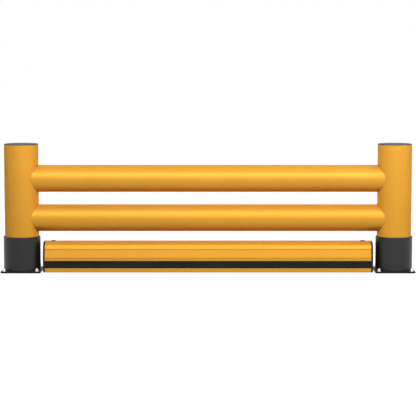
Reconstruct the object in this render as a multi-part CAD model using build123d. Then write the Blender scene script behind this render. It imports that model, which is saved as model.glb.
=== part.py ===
from build123d import *
import os
from math import cos, radians, sin, sqrt, tan

# Double-rail safety barrier with a floor kerb between its two posts, in millimetres.
# X runs along the rails, Y points to the rear and Z is up. The floor is Z = 0, and the
# origin is on the floor, midway between the posts.

# Posts
post_spacing = 2192.0
post_diameter = 200.0
post_wall = 10.0
post_above_rails = 121.5
post_edge_chamfer = 1.0

# Rails, which pass through round sockets into the posts
rail_diameter = 158.0
rail_wall = 8.0
rail_gap = 74.0
rail_past_post_axis = 36.0
socket_clearance = 0.4

# Base plates
plate_past_boot = 9.0
plate_thickness = 10.0
plate_corner_radius = 8.0
plate_edge_chamfer = 1.0

# Boots that sleeve the foot of each post
boot_height = 198.0
boot_to_rail_gap = 28.0
boot_wall = 7.5
boot_clearance = 0.5
boot_lip_chamfer = 2.0
boot_foot_chamfer = 2.0

# Steel spigots that stand on the plates inside the posts
spigot_below_boot_top = 2.0
spigot_wall = 6.0
spigot_head = 8.0
spigot_clearance = 0.9

# Lock pins that pass down through both rail ends
pin_diameter = 42.4
pin_wall = 4.0
pin_clearance = 0.4
pin_below_post_top = 10.0

# Post caps
cap_flange = 4.0
cap_bevel_rise = 1.2
cap_bevel_width = 3.5
cap_skirt_depth = 26.0
cap_skirt_wall = 4.0
cap_skirt_clearance = 0.3
cap_boss_depth = 22.0
cap_boss_wall = 4.0
cap_rib_count = 6
cap_rib_thickness = 3.0
cap_rib_depth = 12.0

# Floor anchors: stud, washer and nut
anchor_from_plate_edge = 22.0
stud_diameter = 12.0
thread_diameter = 11.7
stud_above_nut = 4.5
stud_tip_chamfer = 1.2
anchor_hole_clearance = 1.5
washer_diameter = 24.0
washer_thickness = 2.5
washer_clearance = 0.5
nut_across_flats = 19.0
nut_height = 10.8
nut_chamfer_angle = 30.0
nut_clearance = 0.1

# Kerb section, from the floor up; the two long sides are alike
kerb_to_plate_gap = 11.5
kerb_width = 158.0
kerb_height = 177.0
kerb_top_width = 36.0
kerb_toe_chamfer = 2.5
kerb_side_height = 87.0
kerb_shoulder_radius = 52.0
kerb_shoulder_start = 11.0
kerb_groove_height = 3.6
kerb_groove_depth = 2.8
kerb_wall = 7.0
kerb_floor = 8.0
kerb_crown_wall = 8.0
kerb_web = 5.0
kerb_core_width = 40.0

# Dark strips in the dovetail channels of the kerb
strip_bottom = 26.0
strip_height = 42.0
strip_flare = 3.0
strip_proud = 4.0
strip_bevel = 2.5
strip_clearance = 0.3
channel_depth = 7.0

# Kerb end caps
end_cap_thickness = 11.0
end_cap_edge = 2.5
end_cap_tab_depth = 18.0
end_cap_tab_wall = 4.0
end_cap_clearance = 0.4

# Kerb plugs over the floor fixings
plug_from_kerb_end = 56.0
plug_diameter = 32.0
plug_head = 4.0
plug_bevel_rise = 2.6
plug_bevel_width = 6.0
plug_stem_depth = 14.0
plug_stem_wall = 2.5
plug_hole_diameter = 26.0
plug_clearance = 0.3

# Sizes that follow from the values above
boot_bore = post_diameter + 2 * boot_clearance
boot_diameter = boot_bore + 2 * boot_wall
boot_top = plate_thickness + boot_height
plate_width = boot_diameter + 2 * plate_past_boot
lower_rail_height = boot_top + boot_to_rail_gap + rail_diameter / 2
upper_rail_height = lower_rail_height + rail_diameter + rail_gap
post_top = upper_rail_height + rail_diameter / 2 + post_above_rails
post_bore = post_diameter - 2 * post_wall
spigot_top = boot_top - spigot_below_boot_top
spigot_diameter = post_bore - 2 * spigot_clearance
pin_hole_diameter = pin_diameter + 2 * pin_clearance
pin_top = post_top - pin_below_post_top
anchor_hole_diameter = stud_diameter + 2 * anchor_hole_clearance
anchor_spacing = plate_width - 2 * anchor_from_plate_edge
kerb_length = post_spacing - plate_width - 2 * kerb_to_plate_gap
kerb_body_length = kerb_length - 2 * end_cap_thickness
kerb_half = kerb_width / 2
strip_top = strip_bottom + strip_height
shoulder_centre = (kerb_top_width / 2, kerb_height - kerb_shoulder_radius)
shoulder_middle = (kerb_shoulder_start + 90) / 2


def ring(outer, inner, bottom, top):
    """A round tube of two diameters, standing between two heights."""
    section = Circle(outer / 2) - Circle(inner / 2)
    return Pos(0, 0, bottom) * extrude(section, top - bottom)


def rod(diameter, bottom, top):
    """A round bar between two heights."""
    return Pos(0, 0, bottom) * extrude(Circle(diameter / 2), top - bottom)


def turned(*points):
    """A solid of revolution about Z from the corners (radius, height) of its section."""
    outline = Plane.XZ * make_face(Polyline(*points, close=True))
    return revolve(outline, Axis.Z)


def base_plate():
    """Square floor plate with rounded corners and four anchor holes."""
    outline = RectangleRounded(plate_width, plate_width, plate_corner_radius)
    plate = extrude(outline, plate_thickness)
    plate = chamfer(plate.faces().sort_by(Axis.Z)[-1].edges(), plate_edge_chamfer)
    for corner in GridLocations(anchor_spacing, anchor_spacing, 2, 2):
        plate -= corner * rod(anchor_hole_diameter, 0, plate_thickness)
    return plate


def spigot():
    """Steel tube with a closed head, which carries the post and steadies the lock pin."""
    outer = spigot_diameter / 2
    inner = outer - spigot_wall
    hole = pin_hole_diameter / 2
    head = spigot_top - spigot_head
    return turned(
        (inner, plate_thickness),
        (outer, plate_thickness),
        (outer, spigot_top),
        (hole, spigot_top),
        (hole, head),
        (inner, head),
    )


def post_tube():
    """Upright tube with a round socket for each rail through its inner side."""
    tube = ring(post_diameter, post_bore, plate_thickness, post_top)
    rim = tube.edges().group_by(Axis.Z)[-1].sort_by(SortBy.RADIUS)[-1]
    tube = chamfer(rim, post_edge_chamfer)
    socket_radius = rail_diameter / 2 + socket_clearance
    for height in (lower_rail_height, upper_rail_height):
        socket = extrude(Plane.YZ * Circle(socket_radius), post_diameter)
        tube -= Pos(0, 0, height) * socket
    return tube


def boot():
    """Sleeve round the foot of the post, chamfered at its mouth and its foot."""
    sleeve = ring(boot_diameter, boot_bore, plate_thickness, boot_top)
    mouth = sleeve.edges().group_by(Axis.Z)[-1].sort_by(SortBy.RADIUS)[-1]
    sleeve = chamfer(mouth, boot_lip_chamfer)
    foot = sleeve.edges().group_by(Axis.Z)[0].sort_by(SortBy.RADIUS)[-1]
    return chamfer(foot, boot_foot_chamfer)


def lock_pin():
    """Steel tube that stands on the plate and passes through both rail ends."""
    return ring(pin_diameter, pin_diameter - 2 * pin_wall, plate_thickness, pin_top)


def post_cap():
    """Push-in cap: bevelled flange, skirt in the post's bore, ribs and a boss for the pin."""
    radius = post_diameter / 2
    top = post_top + cap_flange
    skirt_diameter = post_bore - 2 * cap_skirt_clearance
    skirt_bore = skirt_diameter - 2 * cap_skirt_wall
    boss_diameter = pin_hole_diameter + 2 * cap_boss_wall
    cap = turned(
        (0, post_top),
        (radius, post_top),
        (radius, top - cap_bevel_rise),
        (radius - cap_bevel_width, top),
        (0, top),
    )
    cap += ring(skirt_diameter, skirt_bore, post_top - cap_skirt_depth, post_top)
    cap += ring(boss_diameter, pin_hole_diameter, post_top - cap_boss_depth, post_top)
    gap = (skirt_bore - boss_diameter) / 2
    overlap = min(cap_skirt_wall, cap_boss_wall) / 2
    rib = Box(gap + 2 * overlap, cap_rib_thickness, cap_rib_depth)
    for turn in PolarLocations(boss_diameter / 2 + gap / 2, cap_rib_count):
        cap += Pos(0, 0, post_top - cap_rib_depth / 2) * turn * rib
    return cap


def rail(height):
    """Round rail tube, drilled through at both ends for the lock pins."""
    length = post_spacing + 2 * rail_past_post_axis
    section = Circle(rail_diameter / 2) - Circle(rail_diameter / 2 - rail_wall)
    tube = extrude(Plane.YZ.offset(-length / 2) * section, length)
    for end in (-1, 1):
        hole = rod(pin_hole_diameter, -rail_diameter, rail_diameter)
        tube -= Pos(end * post_spacing / 2, 0, 0) * hole
    return Pos(0, 0, height) * tube


def stud(seat):
    """Anchor stud from the floor line to just above the nut that stands on the seat."""
    shank = stud_diameter / 2
    thread = thread_diameter / 2
    tip = seat + washer_thickness + nut_height + stud_above_nut
    return turned(
        (0, 0),
        (shank, 0),
        (shank, seat),
        (thread, seat),
        (thread, tip - stud_tip_chamfer),
        (thread - stud_tip_chamfer, tip),
        (0, tip),
    )


def washer(seat):
    """Flat washer on the seat."""
    bore = stud_diameter + 2 * washer_clearance
    return ring(washer_diameter, bore, seat, seat + washer_thickness)


def nut(seat):
    """Hexagon nut on the washer, with the corners of its upper face chamfered."""
    bottom = seat + washer_thickness
    top = bottom + nut_height
    corner = nut_across_flats / sqrt(3)
    flat = nut_across_flats / 2
    drop = (corner - flat) * tan(radians(nut_chamfer_angle))
    blank = RegularPolygon(flat, 6, major_radius=False)
    blank -= Circle(thread_diameter / 2 + nut_clearance)
    corners = turned(
        (0, bottom),
        (corner, bottom),
        (corner, top - drop),
        (flat, top),
        (0, top),
    )
    return (Pos(0, 0, bottom) * extrude(blank, nut_height)) & corners


def per_anchor(piece):
    """One copy of a fastener at each anchor hole of a base plate."""
    return [corner * piece for corner in GridLocations(anchor_spacing, anchor_spacing, 2, 2)]


def shoulder_point(radius, angle):
    """A point at an angle on a circle about the centre of the kerb's shoulder."""
    across, up = shoulder_centre
    return (across + radius * cos(radians(angle)), up + radius * sin(radians(angle)))


def both_sides(half):
    """A section and its mirror image about the kerb's middle."""
    return half + mirror(half, about=Plane.YZ)


def dovetail(clearance):
    """Section of the strip channel, or with a clearance of the root that slides into it."""
    floor = kerb_half - channel_depth + clearance
    low = strip_bottom + clearance
    high = strip_top - clearance
    return make_face(Polyline(
        (kerb_half, low),
        (floor, low - strip_flare),
        (floor, high + strip_flare),
        (kerb_half, high),
        close=True,
    ))


def plain_outline():
    """Half of the kerb's outer section without its channel and grooves."""
    start = shoulder_point(kerb_shoulder_radius, kerb_shoulder_start)
    middle = shoulder_point(kerb_shoulder_radius, shoulder_middle)
    end = (kerb_top_width / 2, kerb_height)
    side = Polyline(
        (0, kerb_height),
        (0, 0),
        (kerb_half - kerb_toe_chamfer, 0),
        (kerb_half, kerb_toe_chamfer),
        (kerb_half, kerb_side_height),
        start,
    )
    return make_face(side + ThreePointArc(start, middle, end) + Line(end, (0, kerb_height)))


def groove(lip):
    """Narrow V in the kerb's side, just below a corner of its outline."""
    across, up = lip
    root = up - kerb_groove_height / 2
    return make_face(Polyline(
        (across - kerb_groove_depth, root),
        (across + kerb_groove_depth, root + kerb_groove_height),
        (across + kerb_groove_depth, root - kerb_groove_height),
        close=True,
    ))


def grooves():
    """The grooves below the leaning face and below the shoulder."""
    shoulder = shoulder_point(kerb_shoulder_radius, kerb_shoulder_start)
    return groove((kerb_half, kerb_side_height)) + groove(shoulder)


def side_chamber():
    """Hollow between the outer wall and the web beside the core."""
    inner = kerb_core_width / 2 + kerb_web
    radius = kerb_shoulder_radius - kerb_wall
    lower = kerb_half - channel_depth - kerb_wall
    upper = kerb_half - kerb_groove_depth - kerb_wall
    start = shoulder_point(radius, kerb_shoulder_start)
    reach = inner - shoulder_centre[0]
    end = (inner, shoulder_centre[1] + sqrt(radius**2 - reach**2))
    middle = shoulder_point(radius, shoulder_middle)
    side = Polyline(
        end,
        (inner, kerb_floor),
        (lower, kerb_floor),
        (lower, strip_top + strip_flare + kerb_wall),
        (upper, kerb_side_height),
        start,
    )
    return make_face(side + ThreePointArc(start, middle, end))


def core_chamber():
    """Middle hollow of the kerb, which the floor fixings stand in."""
    height = kerb_height - kerb_crown_wall - kerb_floor
    return Pos(0, kerb_floor + height / 2) * Rectangle(kerb_core_width, height)


def plug_places():
    """Where the floor fixings and their plugs stand along the kerb."""
    reach = kerb_length / 2 - plug_from_kerb_end
    return [Pos(-reach, 0, 0), Pos(reach, 0, 0)]


def kerb_body():
    """Extruded kerb: channels and grooves outside, three hollows inside."""
    section = both_sides(plain_outline() - dovetail(0) - grooves() - side_chamber())
    section -= core_chamber()
    body = extrude(Plane.YZ.offset(-kerb_body_length / 2) * section, kerb_body_length)
    for place in plug_places():
        body -= place * rod(anchor_hole_diameter, 0, kerb_floor)
        body -= place * rod(plug_hole_diameter, kerb_height - kerb_crown_wall, kerb_height)
    return body


def strip_section():
    """Section of the strip: dovetail root, and a proud head bevelled along its lower edge."""
    face = kerb_half + strip_proud
    low = strip_bottom + strip_clearance
    high = strip_top - strip_clearance
    head = make_face(Polyline(
        (kerb_half, low),
        (face - strip_bevel, low),
        (face, low + strip_bevel),
        (face, high),
        (kerb_half, high),
        close=True,
    ))
    return dovetail(strip_clearance) + head


def kerb_strip(side):
    """Strip that slides into the channel of the front (-1) or rear (1) of the kerb."""
    length = kerb_body_length - 2 * strip_clearance
    strip = extrude(Plane.YZ.offset(-length / 2) * strip_section(), length)
    if side < 0:
        strip = mirror(strip, about=Plane.XZ)
    return strip


def kerb_end_cap():
    """End cap for the right end of the kerb, with a hollow tab in each side chamber."""
    inside = kerb_body_length / 2
    plate = extrude(Plane.YZ.offset(inside) * both_sides(plain_outline()), end_cap_thickness)
    plate = chamfer(plate.faces().sort_by(Axis.X)[-1].edges(), end_cap_edge)
    tab = offset(side_chamber(), -end_cap_clearance, kind=Kind.INTERSECTION)
    tab -= offset(side_chamber(), -end_cap_clearance - end_cap_tab_wall, kind=Kind.INTERSECTION)
    tabs = extrude(Plane.YZ.offset(inside) * both_sides(tab), -end_cap_tab_depth)
    return plate + tabs


def kerb_plug():
    """Round plug with a bevelled head and a hollow stem."""
    head = plug_diameter / 2
    top = kerb_height + plug_head
    stem = plug_hole_diameter / 2 - plug_clearance
    bottom = kerb_height - plug_stem_depth
    return turned(
        (0, top),
        (head - plug_bevel_width, top),
        (head, top - plug_bevel_rise),
        (head, kerb_height),
        (stem, kerb_height),
        (stem, bottom),
        (stem - plug_stem_wall, bottom),
        (stem - plug_stem_wall, kerb_height),
        (0, kerb_height),
    )


def group(pieces):
    """Separate solids of one kind kept together as one sub-part."""
    return Compound(children=[piece.solid() for piece in pieces])


def save(name, shape):
    """Write one sub-part to its own file."""
    export_step(shape, f"parts/{name}.step")


def build_post(side, end):
    """Everything that belongs to the left (-1) or right (1) post."""
    pieces = {
        "base_plate": [base_plate()],
        "spigot": [spigot()],
        "post_tube": [post_tube()],
        "boot": [boot()],
        "lock_pin": [lock_pin()],
        "post_cap": [post_cap()],
        "anchor_studs": per_anchor(stud(plate_thickness)),
        "anchor_washers": per_anchor(washer(plate_thickness)),
        "anchor_nuts": per_anchor(nut(plate_thickness)),
    }
    for name, solids in pieces.items():
        placed = [Pos(-post_spacing / 2, 0, 0) * solid for solid in solids]
        if end > 0:
            placed = [mirror(solid, about=Plane.YZ) for solid in placed]
        save(f"{side}_{name}", group(placed) if len(placed) > 1 else placed[0].solid())


def build_rails():
    """The two rails."""
    save("lower_rail", rail(lower_rail_height).solid())
    save("upper_rail", rail(upper_rail_height).solid())


def build_kerb():
    """The kerb with its strips, caps, plugs and floor fixings."""
    save("kerb_body", kerb_body().solid())
    save("kerb_front_strip", kerb_strip(-1).solid())
    save("kerb_rear_strip", kerb_strip(1).solid())
    end_cap = kerb_end_cap()
    save("kerb_right_end_cap", end_cap.solid())
    save("kerb_left_end_cap", mirror(end_cap, about=Plane.YZ).solid())
    save("kerb_plugs", group([place * kerb_plug() for place in plug_places()]))
    save("kerb_studs", group([place * stud(kerb_floor) for place in plug_places()]))
    save("kerb_washers", group([place * washer(kerb_floor) for place in plug_places()]))
    save("kerb_nuts", group([place * nut(kerb_floor) for place in plug_places()]))


os.makedirs("parts", exist_ok=True)
build_post("left", -1)
build_post("right", 1)
build_rails()
build_kerb()
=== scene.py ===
"""Dresses a double-rail safety barrier with its floor kerb, and sets it in a plain studio."""

import logging
import math
from collections.abc import Callable, Sequence
from dataclasses import dataclass, field
from enum import Enum

import bmesh
import bpy
from mathutils import Matrix, Quaternion, Vector


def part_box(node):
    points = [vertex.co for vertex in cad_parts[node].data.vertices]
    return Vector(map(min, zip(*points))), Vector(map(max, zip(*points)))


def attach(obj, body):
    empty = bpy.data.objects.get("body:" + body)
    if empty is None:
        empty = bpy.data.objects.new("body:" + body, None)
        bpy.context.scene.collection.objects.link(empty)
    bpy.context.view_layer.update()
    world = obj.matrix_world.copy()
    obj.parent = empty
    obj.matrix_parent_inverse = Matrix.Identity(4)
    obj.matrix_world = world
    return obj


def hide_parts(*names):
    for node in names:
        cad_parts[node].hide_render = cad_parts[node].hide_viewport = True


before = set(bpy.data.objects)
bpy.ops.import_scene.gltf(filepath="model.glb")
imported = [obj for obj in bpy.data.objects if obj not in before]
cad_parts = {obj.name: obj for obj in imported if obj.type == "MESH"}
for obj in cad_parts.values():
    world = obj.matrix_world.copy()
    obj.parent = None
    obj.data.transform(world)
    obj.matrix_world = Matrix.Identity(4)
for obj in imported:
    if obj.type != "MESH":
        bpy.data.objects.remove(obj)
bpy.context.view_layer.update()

LOG = logging.getLogger("barrier")
MM = 0.001

Colour = tuple[float, float, float]
Place = tuple[float, float, float]
FlatPoint = tuple[float, float]
Socket = bpy.types.NodeSocket


class Side(Enum):
    """Which end of the barrier a post stands at."""

    LEFT = "left"
    RIGHT = "right"


class Run(Enum):
    """Direction in which a part was extruded, which its die lines follow."""

    ALONG = (1.0, 600.0, 600.0)
    UPRIGHT = (600.0, 600.0, 1.0)


class Graph:
    """Node tree of a material or of the surroundings, built up by short calls."""

    def __init__(self, owner: bpy.types.Material | bpy.types.World) -> None:
        """Start an empty tree.

        Args:
            owner: The material or world that holds the tree.
        """
        owner.use_nodes = True
        self.owner = owner
        self.nodes = owner.node_tree.nodes
        self.links = owner.node_tree.links
        self.nodes.clear()

    def add(self, kind: str, **inputs: object) -> bpy.types.Node:
        """Add a node and set or link its inputs.

        Args:
            kind: Blender's type name of the node.
            **inputs: Sockets by name, with an underscore for each space.

        Returns:
            The new node.
        """
        node = self.nodes.new(kind)
        for key, value in inputs.items():
            self.feed(node.inputs[key.replace("_", " ")], value)
        return node

    def feed(self, socket: Socket, value: object) -> None:
        """Set a socket to a constant, or link another node's output to it.

        Args:
            socket: The input to feed.
            value: A number, a colour, a vector or an output socket.
        """
        if isinstance(value, bpy.types.NodeSocket):
            self.links.new(value, socket)
        elif socket.type == "RGBA":
            socket.default_value = (*value, 1.0)
        else:
            socket.default_value = value

    def place(self, stretch: Place = (1.0, 1.0, 1.0)) -> Socket:
        """Position on the part in metres, multiplied along each axis.

        Args:
            stretch: Factor for each axis.

        Returns:
            The vector output.
        """
        source = self.add("ShaderNodeTexCoord").outputs["Object"]
        return self.add("ShaderNodeMapping", Vector=source, Scale=stretch).outputs[0]

    def noise(self, place: Socket, scale: float, detail: float = 2.0) -> Socket:
        """Smooth noise between 0 and 1.

        Args:
            place: Where it is read.
            scale: Features per metre.
            detail: Octaves of finer noise.

        Returns:
            The factor output.
        """
        return self.add("ShaderNodeTexNoise", Vector=place, Scale=scale, Detail=detail).outputs[0]

    def cells(self, place: Socket, scale: float) -> bpy.types.Node:
        """Voronoi cells.

        Args:
            place: Where they are read.
            scale: Cells per metre.

        Returns:
            The node, with its distance and colour outputs.
        """
        return self.add("ShaderNodeTexVoronoi", Vector=place, Scale=scale)

    def span(self, value: Socket, start: FlatPoint, end: FlatPoint) -> Socket:
        """Remap a value, held at both ends.

        Args:
            value: What is remapped.
            start: Lowest value read, and what it becomes.
            end: Highest value read, and what it becomes.

        Returns:
            The remapped value.
        """
        node = self.add("ShaderNodeMapRange", Value=value)
        for key, number in zip(("From Min", "To Min", "From Max", "To Max"), (*start, *end)):
            node.inputs[key].default_value = number
        return node.outputs[0]

    def maths(self, operation: str, one: object, two: object) -> Socket:
        """Combine two numbers.

        Args:
            operation: Blender's name of the sum.
            one: First number or output.
            two: Second number or output.

        Returns:
            The result.
        """
        node = self.nodes.new("ShaderNodeMath")
        node.operation = operation
        self.feed(node.inputs[0], one)
        self.feed(node.inputs[1], two)
        return node.outputs[0]

    def blend(self, share: object, under: object, over: object) -> Socket:
        """Mix two colours.

        Args:
            share: How much of the second colour shows.
            under: First colour.
            over: Second colour.

        Returns:
            The mixed colour.
        """
        node = self.nodes.new("ShaderNodeMix")
        node.data_type = "RGBA"
        self.feed(node.inputs[0], share)
        self.feed(node.inputs[6], under)
        self.feed(node.inputs[7], over)
        return node.outputs[2]

    def soft_edge(self, radius: float) -> Socket:
        """Normal that rounds each edge by a radius in metres."""
        node = self.nodes.new("ShaderNodeBevel")
        node.samples = 4
        node.inputs["Radius"].default_value = radius
        return node.outputs[0]

    def edge(self, radius: float) -> Socket:
        """How near an edge a point lies.

        Args:
            radius: How far the edge reaches, in metres.

        Returns:
            A factor from 0 on a flat up to 1 at the edge itself.
        """
        node = self.nodes.new("ShaderNodeVectorMath")
        node.operation = "DOT_PRODUCT"
        self.feed(node.inputs[0], self.add("ShaderNodeNewGeometry").outputs["Normal"])
        self.feed(node.inputs[1], self.soft_edge(radius))
        return self.span(node.outputs["Value"], (0.88, 1.0), (0.99, 0.0))

    def worn(self, radius: float, scale: float) -> Socket:
        """Wear along the edges, broken up by noise.

        Args:
            radius: How far the wear reaches from an edge, in metres.
            scale: Patches per metre.

        Returns:
            A factor of 1 where the surface is worn.
        """
        patches = self.span(self.noise(self.place(), scale, 5.0), (0.42, 0.0), (0.6, 1.0))
        return self.maths("MULTIPLY", self.edge(radius), patches)

    def painted_crevice_shade(self, reach: float) -> Socket:
        """How deep a point lies in a groove or a joint, as the share of painted shade put there.

        Args:
            reach: How far off a neighbouring surface still shades it, in metres.

        Returns:
            A factor from 0 in the open up to 1 deep inside.
        """
        # Ambient occlusion, read as how much painted shade a point gets.
        node = self.add("ShaderNodeAmbientOcclusion", Distance=reach)
        node.samples = 8
        return self.span(node.outputs["AO"], (0.25, 1.0), (0.85, 0.0))

    def bump(self, height: Socket, depth: float, normal: Socket | None = None) -> Socket:
        """Raise or sink the surface.

        Args:
            height: Height between 0 and 1.
            depth: What a height of 1 stands for, in metres.
            normal: The normal that it starts from.

        Returns:
            The bent normal.
        """
        node = self.add("ShaderNodeBump", Height=height, Distance=depth, Strength=1.0)
        if normal:
            self.feed(node.inputs["Normal"], normal)
        return node.outputs[0]

    def surface(self, **inputs: object) -> bpy.types.Material:
        """Close the tree with a principled shader.

        Args:
            **inputs: Sockets of the shader by name.

        Returns:
            The finished material.
        """
        shader = self.add("ShaderNodeBsdfPrincipled", **inputs)
        self.add("ShaderNodeOutputMaterial", Surface=shader.outputs[0])
        return self.owner


def tinted(colour: Colour, factor: float) -> Colour:
    """A colour made lighter or darker by a factor."""
    return (colour[0] * factor, colour[1] * factor, colour[2] * factor)


@dataclass(frozen=True)
class Finish:
    """A surface finish, made once and shared by every piece that has it."""

    slot: str
    colour: Colour

    def material(self) -> bpy.types.Material:
        """The material, built the first time that it is asked for."""
        name = f"{self.slot}_finish"
        return bpy.data.materials.get(name) or self.build(Graph(bpy.data.materials.new(name)))

    def build(self, graph: Graph) -> bpy.types.Material:
        """Build the node tree.

        Args:
            graph: The empty tree.

        Returns:
            The finished material.
        """
        return graph.surface(Base_Color=self.colour)


@dataclass(frozen=True)
class YellowPolymer(Finish):
    """Through-coloured polymer with die lines, a slight orange peel, faint rub marks and painted shade in its
    grooves and joints.
    """

    run: Run = Run.ALONG
    roughness: float = 0.38
    edge_radius: float = 1.2 * MM
    line_depth: float = 0.02 * MM
    peel_depth: float = 0.05 * MM
    lustre: float = 0.28
    gloss: float = 0.03
    edge_tint: Colour = (0.45, 0.18, 0.04)
    # Reach and strength of the painted shade in grooves and joints.
    crevice_reach: float = 22.0 * MM
    crevice_shade: float = 0.4

    def build(self, graph: Graph) -> bpy.types.Material:
        """Build the node tree.

        Args:
            graph: The empty tree.

        Returns:
            The finished material.
        """
        here = graph.place()
        lines = graph.noise(graph.place(self.run.value), 1.0, 3.0)
        clouds = graph.noise(here, 5.0, 3.0)
        peel = graph.noise(here, 240.0, 2.0)
        grain = graph.noise(here, 2600.0, 1.0)
        shade = graph.blend(graph.span(clouds, (0.35, 0.0), (0.65, 1.0)), self.colour, tinted(self.colour, 0.965))
        shade = graph.blend(graph.span(lines, (0.55, 0.0), (0.8, 0.12)), shade, tinted(self.colour, 0.9))
        worn = graph.worn(2.5 * MM, 45.0)
        shade = graph.blend(graph.maths("MULTIPLY", worn, 0.3), shade, (0.83, 0.50, 0.16))
        # Painted shade: the colour darkens in grooves and joints, where less light reaches.
        painted_shade = graph.maths("MULTIPLY", graph.painted_crevice_shade(self.crevice_reach), self.crevice_shade)
        shade = graph.blend(painted_shade, shade, tinted(self.colour, 0.3))
        rubbed = graph.noise(graph.place(tuple(math.sqrt(factor) for factor in self.run.value)), 2.2, 4.0)
        rough = graph.span(rubbed, (0.4, self.roughness - 0.025), (0.7, self.roughness + 0.05))
        rough = graph.maths("ADD", rough, graph.span(grain, (0.3, -0.02), (0.7, 0.02)))
        rough = graph.maths("ADD", rough, graph.maths("MULTIPLY", worn, 0.06))
        normal = graph.bump(lines, self.line_depth, graph.soft_edge(self.edge_radius))
        normal = graph.bump(peel, self.peel_depth, normal)
        normal = graph.bump(grain, 0.004 * MM, normal)
        return graph.surface(
            Base_Color=shade,
            Roughness=rough,
            Normal=normal,
            Metallic=self.lustre,
            Specular_IOR_Level=self.gloss,
            Specular_Tint=self.edge_tint,
        )


@dataclass(frozen=True)
class BlackMoulding(Finish):
    """Injection-moulded black polymer with a fine spark-eroded texture and pale rubbed edges."""

    roughness: float = 0.36
    edge_radius: float = 0.8 * MM
    texture_depth: float = 0.03 * MM
    gloss: float = 0.5
    rubbed: Colour = (0.04, 0.04, 0.04)

    def build(self, graph: Graph) -> bpy.types.Material:
        """Build the node tree.

        Args:
            graph: The empty tree.

        Returns:
            The finished material.
        """
        here = graph.place()
        texture = graph.noise(here, 900.0, 3.0)
        clouds = graph.noise(here, 9.0, 4.0)
        smears = graph.noise(graph.place((60.0, 60.0, 4.0)), 1.0, 4.0)
        shade = graph.blend(graph.span(clouds, (0.35, 0.0), (0.65, 1.0)), self.colour, tinted(self.colour, 1.25))
        shade = graph.blend(graph.span(texture, (0.55, 0.0), (0.75, 0.3)), shade, tinted(self.colour, 1.6))
        worn = graph.worn(1.8 * MM, 80.0)
        shade = graph.blend(graph.maths("MULTIPLY", worn, 0.5), shade, self.rubbed)
        rough = graph.span(smears, (0.35, self.roughness - 0.03), (0.7, self.roughness + 0.06))
        rough = graph.maths("ADD", rough, graph.span(texture, (0.3, -0.03), (0.7, 0.03)))
        normal = graph.bump(texture, self.texture_depth, graph.soft_edge(self.edge_radius))
        return graph.surface(Base_Color=shade, Roughness=rough, Normal=normal, Specular_IOR_Level=self.gloss)


@dataclass(frozen=True)
class StripRubber(Finish):
    """Matt extruded rubber with die lines along it, and painted shade in its crevices."""

    roughness: float = 0.55

    def build(self, graph: Graph) -> bpy.types.Material:
        """Build the node tree.

        Args:
            graph: The empty tree.

        Returns:
            The finished material.
        """
        lines = graph.noise(graph.place(Run.ALONG.value), 1.0, 3.0)
        bloom = graph.noise(graph.place((6.0, 40.0, 40.0)), 1.0, 4.0)
        grain = graph.noise(graph.place(), 1800.0, 2.0)
        shade = graph.blend(graph.span(bloom, (0.4, 0.0), (0.7, 1.0)), self.colour, tinted(self.colour, 1.5))
        # Painted shade: the colour darkens in crevices and against the kerb, where less light reaches.
        shade = graph.blend(graph.painted_crevice_shade(9.0 * MM), shade, tinted(self.colour, 0.1))
        rough = graph.span(lines, (0.3, self.roughness - 0.05), (0.7, self.roughness + 0.08))
        normal = graph.bump(lines, 0.05 * MM, graph.soft_edge(0.5 * MM))
        normal = graph.bump(grain, 0.01 * MM, normal)
        return graph.surface(Base_Color=shade, Roughness=rough, Normal=normal, Specular_IOR_Level=0.12)


@dataclass(frozen=True)
class PowderCoat(Finish):
    """Black powder coat on steel plate, with orange peel and a few small chips at its edges."""

    metal: Colour = (0.16, 0.155, 0.15)
    roughness: float = 0.42

    def build(self, graph: Graph) -> bpy.types.Material:
        """Build the node tree.

        Args:
            graph: The empty tree.

        Returns:
            The finished material.
        """
        here = graph.place()
        peel = graph.noise(here, 620.0, 2.0)
        dust = graph.noise(here, 30.0, 5.0)
        shade = graph.blend(graph.span(dust, (0.45, 0.0), (0.75, 0.5)), self.colour, tinted(self.colour, 2.2))
        chips = graph.span(graph.noise(here, 420.0, 2.0), (0.56, 0.0), (0.6, 1.0))
        chips = graph.maths("MULTIPLY", chips, graph.worn(1.0 * MM, 60.0))
        shade = graph.blend(chips, shade, self.metal)
        rough = graph.span(dust, (0.35, self.roughness - 0.04), (0.75, self.roughness + 0.16))
        normal = graph.bump(peel, 0.06 * MM, graph.soft_edge(0.8 * MM))
        return graph.surface(Base_Color=shade, Roughness=rough, Normal=normal, Specular_IOR_Level=0.18)


@dataclass(frozen=True)
class ZincPlate(Finish):
    """Bright zinc plating, a little mottled, with turning marks."""

    roughness: float = 0.27

    def build(self, graph: Graph) -> bpy.types.Material:
        """Build the node tree.

        Args:
            graph: The empty tree.

        Returns:
            The finished material.
        """
        mottle = graph.noise(graph.place(), 320.0, 4.0)
        marks = graph.noise(graph.place((40.0, 40.0, 5200.0)), 1.0, 2.0)
        tint = graph.noise(graph.place(), 90.0, 2.0)
        shade = graph.blend(graph.span(mottle, (0.35, 0.0), (0.7, 1.0)), self.colour, tinted(self.colour, 0.86))
        shade = graph.blend(graph.span(tint, (0.45, 0.0), (0.7, 0.5)), shade, (0.80, 0.77, 0.66))
        rough = graph.span(mottle, (0.3, self.roughness - 0.06), (0.75, self.roughness + 0.12))
        normal = graph.bump(marks, 0.006 * MM, graph.soft_edge(0.25 * MM))
        return graph.surface(Base_Color=shade, Roughness=rough, Normal=normal, Metallic=1.0)


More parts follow.
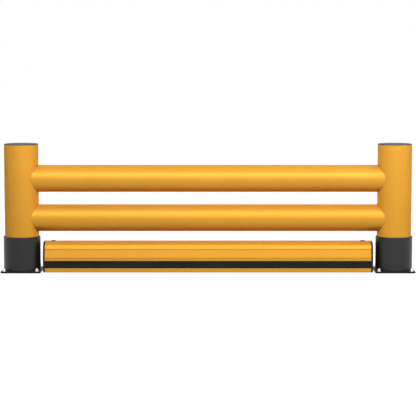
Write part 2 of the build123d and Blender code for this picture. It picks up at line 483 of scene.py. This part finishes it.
@dataclass(frozen=True)
class Galvanised(Finish):
    """Hot-dip galvanised steel with its spangle."""

    roughness: float = 0.42

    def build(self, graph: Graph) -> bpy.types.Material:
        """Build the node tree.

        Args:
            graph: The empty tree.

        Returns:
            The finished material.
        """
        spangle = graph.cells(graph.place((1.0, 1.0, 0.7)), 120.0)
        grain = graph.noise(graph.place(), 700.0, 3.0)
        shade = graph.blend(spangle.outputs["Color"], self.colour, tinted(self.colour, 1.25))
        rough = graph.span(spangle.outputs["Distance"], (0.0, self.roughness - 0.08), (0.01, self.roughness + 0.1))
        normal = graph.bump(grain, 0.03 * MM, graph.soft_edge(0.8 * MM))
        return graph.surface(Base_Color=shade, Roughness=rough, Normal=normal, Metallic=1.0)


YELLOW: Colour = (0.795, 0.375, 0.045)
RAIL_FINISH = YellowPolymer("yellow_rail", YELLOW)
POST_FINISH = YellowPolymer("yellow_post", YELLOW, Run.UPRIGHT)
KERB_FINISH = YellowPolymer("yellow_kerb", YELLOW, Run.ALONG, roughness=0.41, crevice_shade=0.12)
BOOT_FINISH = BlackMoulding("grey_boot", (0.012, 0.012, 0.0115), roughness=0.42, gloss=0.36)
CAP_FINISH = BlackMoulding("black_cap", (0.007, 0.0095, 0.020), roughness=0.43, gloss=0.22)
END_CAP_FINISH = BlackMoulding("black_end_cap", (0.0035, 0.005, 0.011), roughness=0.4, gloss=0.22)
STRIP_FINISH = StripRubber("black_strip", (0.012, 0.0122, 0.012))
PLATE_FINISH = PowderCoat("black_plate", (0.008, 0.008, 0.008))
ZINC_FINISH = ZincPlate("zinc_fasteners", (0.88, 0.89, 0.90))
STEEL_FINISH = Galvanised("galvanised_steel", (0.5, 0.51, 0.52))


def finish_node(node: str, finish: Finish) -> None:
    """Give a carried-over node its finish.

    Args:
        node: Name of the node.
        finish: The finish that replaces its plain one.
    """
    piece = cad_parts[node]
    if not piece.material_slots:
        piece.data.materials.append(finish.material())
    for held in piece.material_slots:
        held.material = finish.material()
    LOG.info("%s dressed in %s", node, finish.slot)


@dataclass(frozen=True)
class Corner:
    """A corner of a section, and the radius that rounds it."""

    across: float
    up: float
    radius: float = 0.0


def rounded(corners: Sequence[Corner], steps: int = 6) -> list[FlatPoint]:
    """Draw a closed line through corners, with an arc at each rounded one.

    Args:
        corners: The corners in order.
        steps: Lengths in each arc.

    Returns:
        The points of the line.
    """
    points: list[FlatPoint] = []
    for index, corner in enumerate(corners):
        here = Vector((corner.across, corner.up))
        before, after = corners[index - 1], corners[(index + 1) % len(corners)]
        back = Vector((before.across, before.up)) - here
        on = Vector((after.across, after.up)) - here
        half = back.angle(on) / 2 if corner.radius else math.pi / 2
        reach = corner.radius / math.tan(half)
        if reach < 1e-9:
            points.append(tuple(here))
            continue
        start = here + back.normalized() * reach
        end = here + on.normalized() * reach
        middle = here + (back.normalized() + on.normalized()).normalized() * corner.radius / math.sin(half)
        for step in range(steps + 1):
            arm = (start - middle).lerp(end - middle, step / steps).normalized() * corner.radius
            points.append(tuple(middle + arm))
    return points


class MeshShop:
    """Builds one piece's mesh from turned, extruded and threaded forms."""

    def __init__(self, name: str) -> None:
        """Start an empty mesh.

        Args:
            name: Name of the piece.
        """
        self.name = name
        self.mesh = bmesh.new()

    def rows(self, rings: Sequence[Sequence[Place]], closed: bool) -> None:
        """Join rings of points into a skin.

        Args:
            rings: Rings in order. A ring of one point is a pole.
            closed: Whether the last ring joins the first.
        """
        made = [[self.mesh.verts.new(point) for point in ring] for ring in rings]
        pairs = list(zip(made, made[1:]))
        if closed:
            pairs.append((made[-1], made[0]))
        for low, high in pairs:
            count = max(len(low), len(high))
            for step in range(count if count > 1 else 0):
                quad = [low[step % len(low)], low[(step + 1) % len(low)]]
                quad += [high[(step + 1) % len(high)], high[step % len(high)]]
                self.mesh.faces.new(list(dict.fromkeys(quad)))

    def turned(self, section: Sequence[FlatPoint], centre: Place, segments: int = 96) -> None:
        """Add a solid of revolution about an upright axis.

        Args:
            section: Closed line of (radius, height) points.
            centre: Where the axis meets height 0.
            segments: Steps round the axis.
        """
        self.shaped(section, centre, segments, lambda radius, angle: radius)

    def shaped(
        self,
        section: Sequence[FlatPoint],
        centre: Place,
        segments: int,
        form: Callable[[float, float], float],
    ) -> None:
        """Add a solid whose radius also depends on the angle.

        Args:
            section: Closed line of (radius, height) points.
            centre: Where the axis meets height 0.
            segments: Steps round the axis.
            form: Gives the radius for a section radius and an angle.
        """
        rings: list[list[Place]] = []
        for radius, height in section:
            turns = segments if radius > 1e-9 else 1
            ring: list[Place] = []
            for step in range(turns):
                angle = 2 * math.pi * step / segments
                reach = form(radius, angle)
                ring.append((
                    centre[0] + reach * math.cos(angle),
                    centre[1] + reach * math.sin(angle),
                    centre[2] + height,
                ))
            rings.append(ring)
        self.rows(rings, closed=True)

    def slab(self, centre: Place, size: Place, turn: float) -> None:
        """Add a box turned about the upright.

        Args:
            centre: Middle of the box.
            size: Its length, width and height.
            turn: Angle about the upright through its middle.
        """
        corners = bmesh.ops.create_cube(self.mesh, size=1.0)["verts"]
        spin = Quaternion((0.0, 0.0, 1.0), turn)
        bmesh.ops.transform(self.mesh, matrix=Matrix.LocRotScale(Vector(centre), spin, Vector(size)), verts=corners)

    def piece(self, finish: Finish, node: str) -> bpy.types.Object:
        """Close the mesh, dress it and let it stand for a node.

        Args:
            finish: The piece's finish.
            node: The node that it stands for.

        Returns:
            The new object.
        """
        bmesh.ops.recalc_face_normals(self.mesh, faces=self.mesh.faces)
        data = bpy.data.meshes.new(self.name)
        self.mesh.to_mesh(data)
        self.mesh.free()
        data.shade_smooth()
        data.set_sharp_from_angle(angle=math.radians(38))
        made = bpy.data.objects.new(self.name, data)
        bpy.context.scene.collection.objects.link(made)
        even = made.modifiers.new("even_normals", "WEIGHTED_NORMAL")
        even.keep_sharp = True
        data.materials.append(finish.material())
        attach(made, "root")
        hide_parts(node)
        LOG.info("%s built with %d faces, stands for %s", self.name, len(data.polygons), node)
        return made


@dataclass(frozen=True)
class Fastener:
    """Sizes of one anchor fixing: stud, washer and hexagon nut."""

    stud_radius: float = 6.0 * MM
    thread_radius: float = 5.85 * MM
    thread_pitch: float = 1.75 * MM
    thread_depth: float = 1.0 * MM
    stud_above_nut: float = 4.5 * MM
    tip_chamfer: float = 1.2 * MM
    washer_radius: float = 12.0 * MM
    washer_bore: float = 6.5 * MM
    washer_thickness: float = 2.5 * MM
    washer_rounding: float = 0.5 * MM
    nut_flat: float = 9.5 * MM
    nut_height: float = 10.8 * MM
    nut_chamfer: float = math.radians(30)
    bore_chamfer: float = 0.8 * MM
    segments: int = 72

    def washer(self, shop: MeshShop, centre: Place) -> None:
        """Add a flat washer with rounded edges.

        Args:
            shop: The mesh that it goes into.
            centre: Where it is seated.
        """
        soft = self.washer_rounding
        shop.turned(rounded([
            Corner(self.washer_bore, 0.0, soft / 2),
            Corner(self.washer_radius, 0.0, soft / 2),
            Corner(self.washer_radius, self.washer_thickness, soft),
            Corner(self.washer_bore, self.washer_thickness, soft),
        ], 3), centre, self.segments)

    def hexagon(self, radius: float, angle: float) -> float:
        """Radius of a hexagon nut at an angle.

        Args:
            radius: Radius in the section, up to the nut's corner.
            angle: Angle about the nut's axis.

        Returns:
            The radius there, held inside the flats.
        """
        turn = math.radians(60)
        across = self.nut_flat / math.cos((angle % turn) - turn / 2)
        return min(radius, across)

    def nut(self, shop: MeshShop, centre: Place) -> None:
        """Add a hexagon nut with its corners chamfered.

        Args:
            shop: The mesh that it goes into.
            centre: Where it is seated.
        """
        corner = self.nut_flat / math.cos(math.radians(30))
        slope = math.tan(self.nut_chamfer)
        bore = self.thread_radius + 0.1 * MM
        steps = 8
        section: list[FlatPoint] = [(bore + self.bore_chamfer, 0.0)]
        section.append((corner, 0.0))
        for step in range(steps + 1):
            radius = corner + (self.nut_flat * 0.97 - corner) * step / steps
            section.append((radius, self.nut_height - max(radius - self.nut_flat * 0.97, 0.0) * slope))
        section.append((bore + self.bore_chamfer, self.nut_height))
        section.append((bore, self.nut_height - self.bore_chamfer))
        section.append((bore, self.bore_chamfer))
        shop.shaped(section, centre, self.segments, self.hexagon)

    def stud(self, shop: MeshShop, centre: Place, seat: float) -> None:
        """Add a stud, plain up to its seat and threaded above it.

        Args:
            shop: The mesh that it goes into.
            centre: Where it stands on the floor.
            seat: Height at which the thread starts.
        """
        tip = seat + self.washer_thickness + self.nut_height + self.stud_above_nut
        per_turn = 8
        count = math.ceil((tip - seat) / self.thread_pitch * per_turn)
        rings: list[list[Place]] = [[(centre[0], centre[1], centre[2])]]
        heights = [(0.0, False), (seat, False)]
        heights += [(seat + (tip - seat) * step / count, True) for step in range(count + 1)]
        for height, threaded in heights:
            ring: list[Place] = []
            for step in range(self.segments // 2):
                angle = 4 * math.pi * step / self.segments
                radius = self.thread(angle, height, tip) if threaded else self.stud_radius
                ring.append((
                    centre[0] + radius * math.cos(angle),
                    centre[1] + radius * math.sin(angle),
                    centre[2] + height,
                ))
            rings.append(ring)
        rings.append([(centre[0], centre[1], centre[2] + tip)])
        shop.rows(rings, closed=False)

    def thread(self, angle: float, height: float, tip: float) -> float:
        """Radius of the thread's surface.

        Args:
            angle: Angle about the stud.
            height: Height on the stud.
            tip: Height of the stud's tip.

        Returns:
            The radius there.
        """
        turn = (height / self.thread_pitch - angle / (2 * math.pi)) % 1.0
        crest = min(1.0, max(0.0, abs(turn - 0.5) * 2.6 - 0.15))
        radius = self.thread_radius - self.thread_depth * (1.0 - crest)
        limit = self.thread_radius - max(0.0, self.tip_chamfer - (tip - height))
        return min(radius, limit)


@dataclass
class Post:
    """One post: tube, boot, cap, base plate, steel inside it and its four anchors."""

    side: Side
    boot_lip: float = 4.0 * MM
    boot_mouth: float = 1.5 * MM
    boot_foot: float = 2.0 * MM
    boot_wall: float = 7.5 * MM
    cap_flange: float = 4.0 * MM
    cap_edge: float = 2.2 * MM
    cap_shoulder: float = 6.0 * MM
    cap_bevel_rise: float = 1.2 * MM
    cap_bevel_width: float = 3.5 * MM
    cap_skirt_inset: float = 10.3 * MM
    cap_skirt_wall: float = 4.0 * MM
    cap_boss_wall: float = 4.0 * MM
    cap_boss_depth: float = 22.0 * MM
    cap_rib_count: int = 6
    cap_rib_depth: float = 12.0 * MM
    cap_rib_thickness: float = 3.0 * MM
    anchor_inset: float = 22.0 * MM
    pin_clearance: float = 0.4 * MM
    fastener: Fastener = field(default_factory=Fastener)

    def name(self, part: str) -> str:
        """Name of one of this post's nodes."""
        return f"{self.side.value}_{part}"

    def span(self, part: str) -> tuple[Vector, Vector]:
        """Lowest and highest corner of one of this post's nodes."""
        low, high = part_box(self.name(part))
        return Vector(low), Vector(high)

    def axis(self) -> Place:
        """Where the post's axis meets the floor."""
        low, high = self.span("boot")
        return ((low.x + high.x) / 2, (low.y + high.y) / 2, 0.0)

    def build(self) -> None:
        """Dress the carried-over nodes and build the finer pieces."""
        finish_node(self.name("post_tube"), POST_FINISH)
        finish_node(self.name("base_plate"), PLATE_FINISH)
        finish_node(self.name("spigot"), STEEL_FINISH)
        finish_node(self.name("lock_pin"), STEEL_FINISH)
        self.boot()
        self.cap()
        self.anchors()

    def boot(self) -> None:
        """Build the boot with a rolled lip and a softened foot."""
        low, high = self.span("boot")
        outer = (high.x - low.x) / 2
        inner = outer - self.boot_wall
        shop = MeshShop(self.name("boot_moulding"))
        shop.turned(rounded([
            Corner(inner, low.z),
            Corner(outer, low.z, self.boot_foot),
            Corner(outer, high.z, self.boot_lip),
            Corner(inner, high.z, self.boot_mouth),
        ]), self.axis(), 160)
        shop.piece(BOOT_FINISH, self.name("boot"))

    def cap(self) -> None:
        """Build the cap with a softened edge, its skirt, its boss and its ribs."""
        low, high = self.span("post_cap")
        tube_low, tube_high = self.span("post_tube")
        pin_low, pin_high = self.span("lock_pin")
        radius = (tube_high.x - tube_low.x) / 2
        rim = high.z - self.cap_flange
        skirt = radius - self.cap_skirt_inset
        boss_bore = (pin_high.x - pin_low.x) / 2 + self.pin_clearance
        boss = boss_bore + self.cap_boss_wall
        shop = MeshShop(self.name("post_cap_moulding"))
        shop.turned(rounded([
            Corner(0.0, high.z),
            Corner(radius - self.cap_bevel_width, high.z, self.cap_shoulder),
            Corner(radius, high.z - self.cap_bevel_rise, self.cap_edge),
            Corner(radius, rim),
            Corner(skirt, rim),
            Corner(skirt, low.z, 1.0 * MM),
            Corner(skirt - self.cap_skirt_wall, low.z),
            Corner(skirt - self.cap_skirt_wall, rim),
            Corner(boss, rim),
            Corner(boss, rim - self.cap_boss_depth),
            Corner(boss_bore, rim - self.cap_boss_depth),
            Corner(boss_bore, rim),
            Corner(0.0, rim),
        ]), self.axis(), 160)
        self.cap_ribs(shop, boss, skirt - self.cap_skirt_wall, rim)
        shop.piece(CAP_FINISH, self.name("post_cap"))

    def cap_ribs(self, shop: MeshShop, inner: float, outer: float, top: float) -> None:
        """Add the ribs under the cap.

        Args:
            shop: The mesh that they go into.
            inner: Radius of the boss that they start in.
            outer: Radius of the skirt's bore that they end in.
            top: Height of the flange's underside.
        """
        middle = (inner + outer) / 2
        length = outer - inner + self.cap_boss_wall / 2 + self.cap_skirt_wall / 2
        x, y, _ = self.axis()
        for step in range(self.cap_rib_count):
            turn = 2 * math.pi * step / self.cap_rib_count
            centre = (x + middle * math.cos(turn), y + middle * math.sin(turn), top - self.cap_rib_depth / 2)
            shop.slab(centre, (length, self.cap_rib_thickness, self.cap_rib_depth), turn)

    def anchor_places(self) -> list[Place]:
        """Where the four anchors stand on the floor."""
        low, high = self.span("base_plate")
        inset = self.anchor_inset
        return [(x, y, 0.0) for x in (low.x + inset, high.x - inset) for y in (low.y + inset, high.y - inset)]

    def anchors(self) -> None:
        """Build the studs, washers and nuts."""
        seat = self.span("base_plate")[1].z
        studs = MeshShop(self.name("threaded_studs"))
        washers = MeshShop(self.name("flat_washers"))
        nuts = MeshShop(self.name("hexagon_nuts"))
        for x, y, floor in self.anchor_places():
            self.fastener.stud(studs, (x, y, floor), seat)
            self.fastener.washer(washers, (x, y, seat))
            self.fastener.nut(nuts, (x, y, seat + self.fastener.washer_thickness))
        studs.piece(ZINC_FINISH, self.name("anchor_studs"))
        washers.piece(ZINC_FINISH, self.name("anchor_washers"))
        nuts.piece(ZINC_FINISH, self.name("anchor_nuts"))


@dataclass
class Rails:
    """The two rails."""

    nodes: tuple[str, ...] = ("lower_rail", "upper_rail")

    def build(self) -> None:
        """Dress both rails."""
        for node in self.nodes:
            finish_node(node, RAIL_FINISH)


@dataclass
class Kerb:
    """The floor kerb with its strips, end caps, plugs and floor fixings."""

    plug_radius: float = 16.0 * MM
    plug_head: float = 4.0 * MM
    plug_stem_radius: float = 12.7 * MM
    plug_stem_wall: float = 2.5 * MM
    plug_dome_width: float = 6.0 * MM
    plug_dome_rise: float = 2.6 * MM

    def build(self) -> None:
        """Dress the carried-over nodes and build the plugs."""
        finish_node("kerb_body", KERB_FINISH)
        for node in ("kerb_front_strip", "kerb_rear_strip"):
            finish_node(node, STRIP_FINISH)
        for node in ("kerb_left_end_cap", "kerb_right_end_cap"):
            finish_node(node, END_CAP_FINISH)
        for node in ("kerb_studs", "kerb_washers", "kerb_nuts"):
            finish_node(node, ZINC_FINISH)
        self.plugs()

    def plugs(self) -> None:
        """Build both plugs with a softly domed head."""
        low, high = (Vector(corner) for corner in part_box("kerb_plugs"))
        top, seat = high.z, high.z - self.plug_head
        stem, wall = self.plug_stem_radius, self.plug_stem_wall
        shop = MeshShop("kerb_plug_mouldings")
        for x in (low.x + self.plug_radius, high.x - self.plug_radius):
            shop.turned(rounded([
                Corner(0.0, top),
                Corner(self.plug_radius - self.plug_dome_width, top, 6.0 * MM),
                Corner(self.plug_radius, top - self.plug_dome_rise, 1.2 * MM),
                Corner(self.plug_radius, seat),
                Corner(stem, seat),
                Corner(stem, low.z, 0.8 * MM),
                Corner(stem - wall, low.z),
                Corner(stem - wall, seat),
                Corner(0.0, seat),
            ]), (x, (low.y + high.y) / 2, 0.0), 64)
        shop.piece(END_CAP_FINISH, "kerb_plugs")


@dataclass(frozen=True)
class Lamp:
    """A soft box light that faces a point on the object."""

    name: str
    place: Place
    size: FlatPoint
    power: float
    aim: Place = (0.0, 0.0, 0.4)
    colour: Colour = (1.0, 1.0, 1.0)
    reflected: bool = True

    def hang(self) -> None:
        """Create the light and turn it to its aim."""
        data = bpy.data.lights.new(self.name, "AREA")
        data.shape = "RECTANGLE"
        data.size, data.size_y = self.size
        data.energy = self.power
        data.color = self.colour
        lamp = bpy.data.objects.new(self.name, data)
        lamp.visible_camera = False
        lamp.visible_glossy = self.reflected
        bpy.context.scene.collection.objects.link(lamp)
        lamp.location = self.place
        lamp.rotation_euler = (Vector(self.aim) - Vector(self.place)).to_track_quat("-Z", "Y").to_euler()
        LOG.info("%s hung", self.name)


@dataclass
class Studio:
    """Plain pale floor, soft lights, white surroundings and the camera."""

    camera_distance: float = 9.5
    camera_height: float = 1.357
    camera_dip: float = math.radians(5.918)
    focal_pixels: float = 1622.6
    picture_pixels: float = 416.0
    sensor_width: float = 36.0
    floor_half: float = 40.0
    floor_drop: float = 0.2 * MM
    floor_glow: float = 0.95
    floor_tone: float = 0.25
    floor_bounce: float = 0.08
    fill: float = 0.25
    lamps: tuple[Lamp, ...] = (
        Lamp("front_softbox", (0.6, -3.2, 1.6), (4.6, 1.2), 32.3),
        Lamp("overhead_strip", (0.0, -1.3, 1.7), (4.4, 0.7), 39.3, aim=(0.0, 0.0, 0.7)),
        Lamp("rear_softbox", (0.0, 3.2, 0.36), (4.6, 0.68), 34.0, aim=(0.0, 0.0, 0.36), reflected=False),
        Lamp("side_softbox", (2.6, -0.7, 1.4), (0.8, 0.8), 13.3, aim=(1.1, 0.0, 0.7)),
    )

    def build(self) -> None:
        """Set the whole studio up."""
        self.floor()
        self.surroundings()
        for lamp in self.lamps:
            lamp.hang()
        self.camera()
        bpy.context.scene.view_settings.view_transform = "Standard"

    def seen_or_reflected(self, graph: Graph) -> Socket:
        """A factor of 1 for rays from the camera, mirrors and glass.

        Args:
            graph: The tree that it goes into.

        Returns:
            The factor.
        """
        rays = graph.add("ShaderNodeLightPath").outputs
        seen = graph.maths("MAXIMUM", rays["Is Camera Ray"], rays["Is Glossy Ray"])
        return graph.maths("MAXIMUM", seen, rays["Is Transmission Ray"])

    def floor(self) -> None:
        """Build the floor, which shows white and keeps the object's shadow."""
        graph = Graph(bpy.data.materials.new("studio_floor"))
        paint = graph.add("ShaderNodeBsdfDiffuse", Color=(self.floor_tone,) * 3)
        dim = graph.add("ShaderNodeBsdfDiffuse", Color=(self.floor_bounce,) * 3)
        glow = graph.add("ShaderNodeEmission", Color=(1.0, 1.0, 1.0), Strength=self.floor_glow)
        lit = graph.add("ShaderNodeAddShader")
        graph.links.new(paint.outputs[0], lit.inputs[0])
        graph.links.new(glow.outputs[0], lit.inputs[1])
        choice = graph.nodes.new("ShaderNodeMixShader")
        graph.feed(choice.inputs[0], self.seen_or_reflected(graph))
        graph.links.new(dim.outputs[0], choice.inputs[1])
        graph.links.new(lit.outputs[0], choice.inputs[2])
        graph.add("ShaderNodeOutputMaterial", Surface=choice.outputs[0])
        mesh = bmesh.new()
        bmesh.ops.create_grid(mesh, x_segments=1, y_segments=1, size=self.floor_half)
        bmesh.ops.translate(mesh, verts=mesh.verts, vec=(0.0, 0.0, -self.floor_drop))
        data = bpy.data.meshes.new("studio_floor")
        mesh.to_mesh(data)
        mesh.free()
        data.materials.append(graph.owner)
        floor = bpy.data.objects.new("studio_floor", data)
        bpy.context.scene.collection.objects.link(floor)
        LOG.info("studio_floor laid")

    def surroundings(self) -> None:
        """White for what the camera and reflections see, a soft fill for the rest."""
        world = bpy.data.worlds.new("studio_surroundings")
        bpy.context.scene.world = world
        graph = Graph(world)
        strength = graph.span(self.seen_or_reflected(graph), (0.0, self.fill), (1.0, 1.0))
        light = graph.add("ShaderNodeBackground", Color=(1.0, 1.0, 1.0), Strength=strength)
        graph.add("ShaderNodeOutputWorld", Surface=light.outputs[0])

    def camera(self) -> None:
        """Create the camera where the photograph was taken from."""
        data = bpy.data.cameras.new("studio_camera")
        data.sensor_width = self.sensor_width
        data.lens = self.focal_pixels * self.sensor_width / self.picture_pixels
        data.clip_end = 200.0
        camera = bpy.data.objects.new("studio_camera", data)
        camera.location = (0.0, -self.camera_distance, self.camera_height)
        camera.rotation_euler = (math.pi / 2 - self.camera_dip, 0.0, 0.0)
        bpy.context.scene.collection.objects.link(camera)
        bpy.context.scene.camera = camera
        LOG.info("studio_camera placed")


def main() -> None:
    """Build every sub-assembly, then the studio round them."""
    logging.basicConfig(level=logging.INFO, format="%(name)s: %(message)s")
    for side in Side:
        Post(side).build()
    Rails().build()
    Kerb().build()
    Studio().build()


if __name__ == "__main__":
    main()
